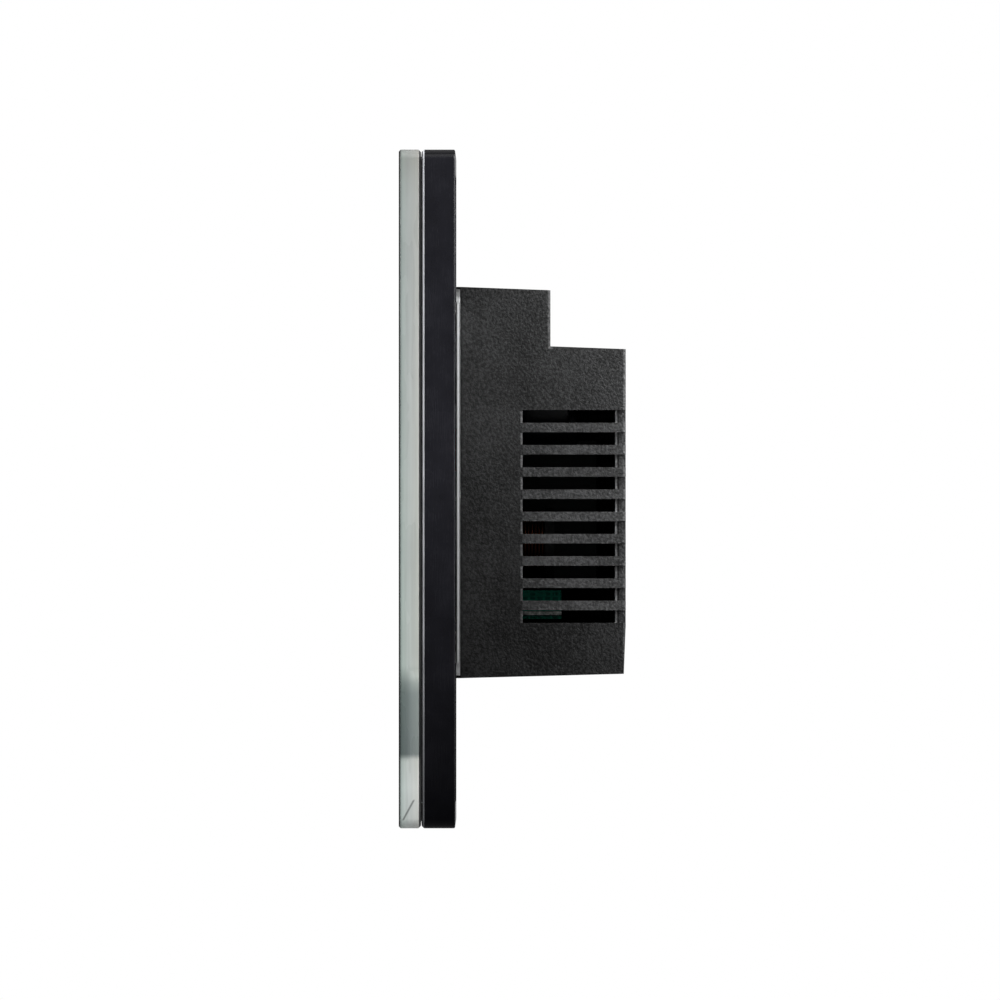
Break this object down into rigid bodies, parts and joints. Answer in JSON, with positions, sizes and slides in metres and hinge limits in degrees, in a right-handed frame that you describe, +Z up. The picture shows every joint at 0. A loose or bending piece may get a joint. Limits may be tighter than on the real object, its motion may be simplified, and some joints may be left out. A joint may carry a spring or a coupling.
{
  "type": "alarm keypad panel",
  "caption": "Flush-mounted alarm keypad panel with a glass touch front that pulls off a vented back box, screw terminals and a tamper switch.",
  "frame": {"origin": "middle of the two wall-screw slots, on the front face of the steel mounting plate", "axes": "+X right as seen from the room, +Y into the wall, +Z up; the glass faces -Y"},
  "size_m": [0.086, 0.0288, 0.086],
  "materials": {
    "clear_glass": "polished",
    "black_ink": "gloss",
    "black_adhesive": "matte",
    "milky_diffuser": "satin",
    "green_board": "satin solder mask",
    "led_package": "satin",
    "chip_package": "matte",
    "chip_terminals": "tinned ceramic",
    "header_plastic": "matte",
    "pin_brass": "plated",
    "frame_plastic": "gloss",
    "plate_steel": "zinc plated",
    "screw_steel": "zinc plated",
    "insulation_film": "matte",
    "housing_plastic": "spark-eroded texture",
    "label_film": "satin",
    "relay_case": "satin",
    "ferrite": "matte",
    "capacitor_sleeve": "gloss",
    "solder_tin": "tinned",
    "plunger_plastic": "satin",
    "switch_can": "plated",
    "switch_red": "satin",
    "terminal_green": "satin"
  },
  "bodies": {
    "back_box": {"mounting_plate": "plate_steel", "plate_screws": "screw_steel", "insulation_sheet": "insulation_film", "back_housing": "housing_plastic", "rating_label": "label_film", "main_board": "green_board", "board_screws": "screw_steel", "board_socket": "header_plastic", "relay": "relay_case", "inductor": "ferrite", "filter_capacitors": "capacitor_sleeve", "voltage_regulator": "chip_package", "microcontroller": "chip_package", "main_passives": "chip_terminals", "antenna_board": "green_board", "antenna_solder_strip": "solder_tin", "antenna_header": "header_plastic", "tamper_switch_body": "header_plastic", "reset_switch_body": "switch_can", "dip_switch_body": "switch_red", "terminal_body": "terminal_green", "terminal_contacts": "solder_tin"},
    "front_panel": {"glass_panel": "clear_glass", "ink_mask": "black_ink", "glass_adhesive": "black_adhesive", "key_light_guides": "milky_diffuser", "status_light_guide": "milky_diffuser", "touch_board": "green_board", "key_leds": "led_package", "status_leds": "led_package", "touch_controller": "chip_package", "touch_passives": "chip_terminals", "buzzer": "chip_package", "pin_header_body": "header_plastic", "header_pins": "pin_brass", "front_frame": "frame_plastic", "front_clips": "frame_plastic"},
    "tamper_plunger": {"tamper_plunger": "plunger_plastic"},
    "reset_button": {"reset_button": "header_plastic"},
    "dip_slider_1": {"dip_slider_1": "plunger_plastic"},
    "dip_slider_2": {"dip_slider_2": "plunger_plastic"},
    "dip_slider_3": {"dip_slider_3": "plunger_plastic"},
    "dip_slider_4": {"dip_slider_4": "plunger_plastic"},
    "terminal_screw_1": {"terminal_screw_1": "screw_steel"},
    "terminal_screw_2": {"terminal_screw_2": "screw_steel"},
    "terminal_screw_3": {"terminal_screw_3": "screw_steel"},
    "terminal_screw_4": {"terminal_screw_4": "screw_steel"},
    "terminal_screw_5": {"terminal_screw_5": "screw_steel"},
    "terminal_screw_6": {"terminal_screw_6": "screw_steel"},
    "terminal_clamp_1": {"terminal_clamp_1": "screw_steel"},
    "terminal_clamp_2": {"terminal_clamp_2": "screw_steel"},
    "terminal_clamp_3": {"terminal_clamp_3": "screw_steel"},
    "terminal_clamp_4": {"terminal_clamp_4": "screw_steel"},
    "terminal_clamp_5": {"terminal_clamp_5": "screw_steel"},
    "terminal_clamp_6": {"terminal_clamp_6": "screw_steel"}
  },
  "joints": [
    {"name": "front_release", "type": "slide", "parent": "back_box", "child": "front_panel", "axis": [0, -1, 0], "range_m": [0, 0.012], "deforming": ["front_clips"]},
    {"name": "tamper_travel", "type": "slide", "parent": "back_box", "child": "tamper_plunger", "axis": [0, -1, 0], "range_m": [0, 0.001]},
    {"name": "reset_press", "type": "slide", "parent": "back_box", "child": "reset_button", "axis": [0, 1, 0], "range_m": [0, 0.00025], "stiffness_N_per_m": 400},
    {"name": "dip_switch_1", "type": "slide", "parent": "back_box", "child": "dip_slider_1", "axis": [0, 0, 1], "range_m": [0, 0.001]},
    {"name": "dip_switch_2", "type": "slide", "parent": "back_box", "child": "dip_slider_2", "axis": [0, 0, 1], "range_m": [0, 0.001]},
    {"name": "dip_switch_3", "type": "slide", "parent": "back_box", "child": "dip_slider_3", "axis": [0, 0, 1], "range_m": [0, 0.001]},
    {"name": "dip_switch_4", "type": "slide", "parent": "back_box", "child": "dip_slider_4", "axis": [0, 0, 1], "range_m": [0, 0.001]},
    {"name": "terminal_turn_1", "type": "hinge", "parent": "back_box", "child": "terminal_screw_1", "pos_m": [-0.0125, 0.0104, 0.0206], "axis": [0, -1, 0], "range_deg": [0, 1260]},
    {"name": "terminal_grip_1", "type": "slide", "parent": "back_box", "child": "terminal_clamp_1", "axis": [0, 1, 0], "range_m": [0, 0.00158]},
    {"name": "terminal_turn_2", "type": "hinge", "parent": "back_box", "child": "terminal_screw_2", "pos_m": [-0.0075, 0.0104, 0.0206], "axis": [0, -1, 0], "range_deg": [0, 1260]},
    {"name": "terminal_grip_2", "type": "slide", "parent": "back_box", "child": "terminal_clamp_2", "axis": [0, 1, 0], "range_m": [0, 0.00158]},
    {"name": "terminal_turn_3", "type": "hinge", "parent": "back_box", "child": "terminal_screw_3", "pos_m": [-0.0025, 0.0104, 0.0206], "axis": [0, -1, 0], "range_deg": [0, 1260]},
    {"name": "terminal_grip_3", "type": "slide", "parent": "back_box", "child": "terminal_clamp_3", "axis": [0, 1, 0], "range_m": [0, 0.00158]},
    {"name": "terminal_turn_4", "type": "hinge", "parent": "back_box", "child": "terminal_screw_4", "pos_m": [0.0025, 0.0104, 0.0206], "axis": [0, -1, 0], "range_deg": [0, 1260]},
    {"name": "terminal_grip_4", "type": "slide", "parent": "back_box", "child": "terminal_clamp_4", "axis": [0, 1, 0], "range_m": [0, 0.00158]},
    {"name": "terminal_turn_5", "type": "hinge", "parent": "back_box", "child": "terminal_screw_5", "pos_m": [0.0075, 0.0104, 0.0206], "axis": [0, -1, 0], "range_deg": [0, 1260]},
    {"name": "terminal_grip_5", "type": "slide", "parent": "back_box", "child": "terminal_clamp_5", "axis": [0, 1, 0], "range_m": [0, 0.00158]},
    {"name": "terminal_turn_6", "type": "hinge", "parent": "back_box", "child": "terminal_screw_6", "pos_m": [0.0125, 0.0104, 0.0206], "axis": [0, -1, 0], "range_deg": [0, 1260]},
    {"name": "terminal_grip_6", "type": "slide", "parent": "back_box", "child": "terminal_clamp_6", "axis": [0, 1, 0], "range_m": [0, 0.00158]}
  ],
  "couplings": [
    {"joint": "tamper_travel", "follows": "front_release", "ratio": 0.083333},
    {"joint": "terminal_turn_1", "follows": "terminal_grip_1", "rad_per_m": 13963},
    {"joint": "terminal_turn_2", "follows": "terminal_grip_2", "rad_per_m": 13963},
    {"joint": "terminal_turn_3", "follows": "terminal_grip_3", "rad_per_m": 13963},
    {"joint": "terminal_turn_4", "follows": "terminal_grip_4", "rad_per_m": 13963},
    {"joint": "terminal_turn_5", "follows": "terminal_grip_5", "rad_per_m": 13963},
    {"joint": "terminal_turn_6", "follows": "terminal_grip_6", "rad_per_m": 13963}
  ]
}
